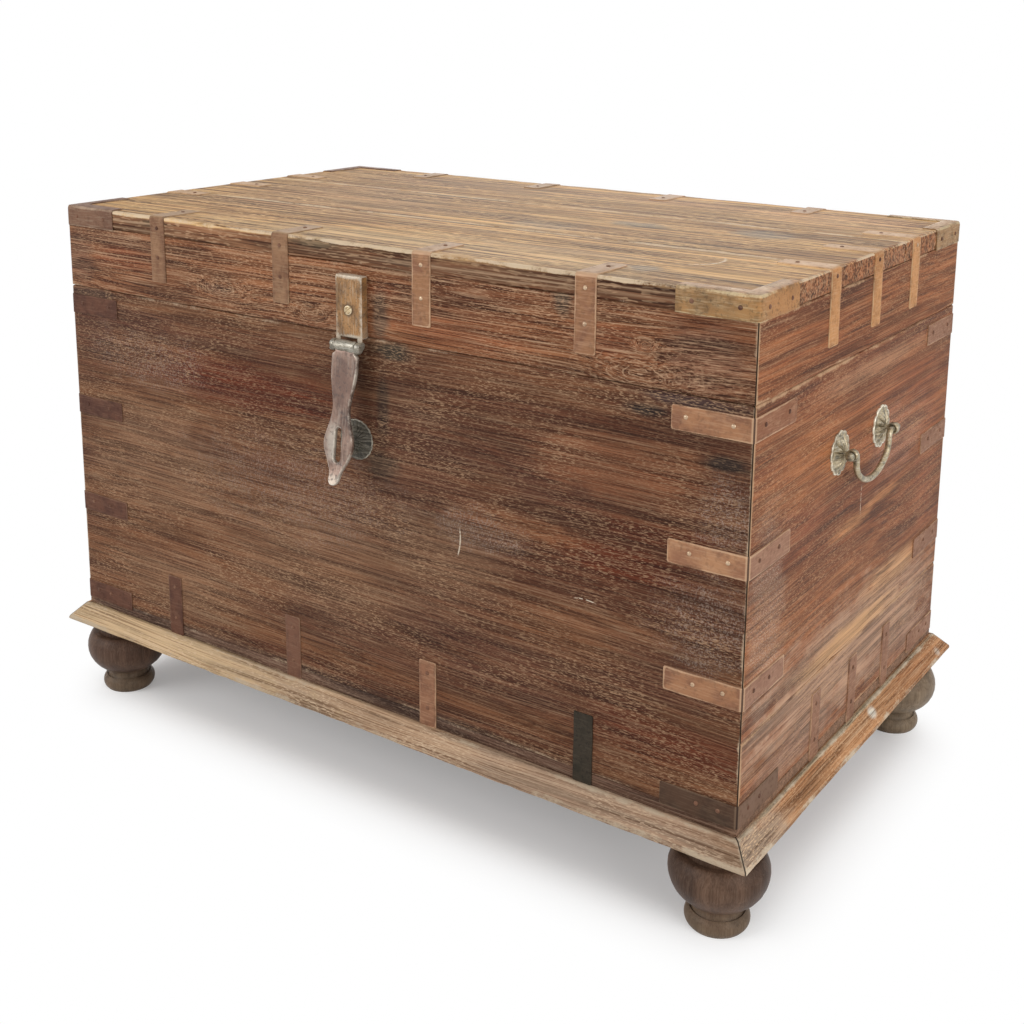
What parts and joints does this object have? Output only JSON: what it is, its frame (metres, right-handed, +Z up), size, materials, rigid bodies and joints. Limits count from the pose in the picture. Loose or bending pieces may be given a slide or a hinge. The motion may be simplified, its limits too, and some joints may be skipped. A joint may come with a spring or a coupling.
{
  "type": "storage chest",
  "caption": "Plank-built wooden storage chest on turned feet, with metal straps, a hinged lid, a hasp and staple for a padlock, and swinging side handles.",
  "frame": {"origin": "on the floor, at the middle of the whole object's box in plan, the hasp in front and the plinth behind counted in", "axes": "+X along the front towards the right end, +Y from the front to the back, +Z up"},
  "size_m": [0.94, 0.5916, 0.6212],
  "materials": {
    "box_wood": "old dark brown hardwood with worn stain, streaks and a dull wax",
    "inner_wood": "unfinished brown wood",
    "plinth_wood": "weathered tan-brown wood with worn edges",
    "foot_wood": "turned dark red-brown wood with a dull wax",
    "strap_metal": "thin copper-brown sheet, dull and tarnished",
    "leaf_brass": "yellow brass with dull patches",
    "hasp_steel": "worn grey steel, brighter at the tip",
    "hinge_iron": "dark wrought iron",
    "antique_brass": "antique brass with brown and green tarnish"
  },
  "bodies": {
    "chest": {"base_straps_back": "strap_metal", "base_straps_front": "strap_metal", "base_straps_left": "strap_metal", "base_straps_right": "strap_metal", "bottom_board_back": "inner_wood", "bottom_board_front": "inner_wood", "bottom_board_middle": "inner_wood", "corner_straps_back_left": "strap_metal", "corner_straps_back_right": "strap_metal", "corner_straps_front_left": "strap_metal", "corner_straps_front_right": "strap_metal", "feet": "foot_wood", "handle_eyes": "antique_brass", "handle_rosettes": "antique_brass", "hasp_rosette": "antique_brass", "hinge_lower_leaves": "hinge_iron", "hinge_pins": "hinge_iron", "plinth_rail_back": "plinth_wood", "plinth_rail_front": "plinth_wood", "plinth_rail_left": "plinth_wood", "plinth_rail_right": "plinth_wood", "staple": "hasp_steel", "wall_back": "box_wood", "wall_front": "box_wood", "wall_left_lower": "box_wood", "wall_left_upper": "box_wood", "wall_right_lower": "box_wood", "wall_right_upper": "box_wood"},
    "lid": {"hasp_leaf": "leaf_brass", "hasp_leaf_screw": "hasp_steel", "hasp_pin": "hasp_steel", "hinge_upper_leaves": "hinge_iron", "lid_apron_back": "box_wood", "lid_apron_front": "box_wood", "lid_apron_left": "box_wood", "lid_apron_right": "box_wood", "lid_board_back": "box_wood", "lid_board_front": "box_wood", "lid_board_middle": "box_wood", "lid_bracket_back_left": "strap_metal", "lid_bracket_back_right": "strap_metal", "lid_bracket_front_left": "strap_metal", "lid_bracket_front_right": "strap_metal", "lid_straps_back": "strap_metal", "lid_straps_front": "strap_metal", "lid_straps_left": "strap_metal", "lid_straps_right": "strap_metal"},
    "hasp": {"hasp_arm": "hasp_steel"},
    "handle_right": {"handle_right_bail": "antique_brass"},
    "handle_left": {"handle_left_bail": "antique_brass"}
  },
  "joints": [
    {"name": "lid_hinge", "type": "hinge", "parent": "chest", "child": "lid", "pos_m": [0, 0.2821, 0.5238], "axis": [-1, 0, 0], "range_deg": [0, 105]},
    {"name": "hasp_swing", "type": "hinge", "parent": "lid", "child": "hasp", "pos_m": [0, -0.2682, 0.515], "axis": [-1, 0, 0], "range_deg": [-11.5, 150]},
    {"name": "handle_right_swing", "type": "hinge", "parent": "chest", "child": "handle_right", "pos_m": [0.464, 0.0008, 0.431], "axis": [0, -1, 0], "range_deg": [-16, 195]},
    {"name": "handle_left_swing", "type": "hinge", "parent": "chest", "child": "handle_left", "pos_m": [-0.464, 0.0008, 0.431], "axis": [0, 1, 0], "range_deg": [-16, 195]}
  ]
}
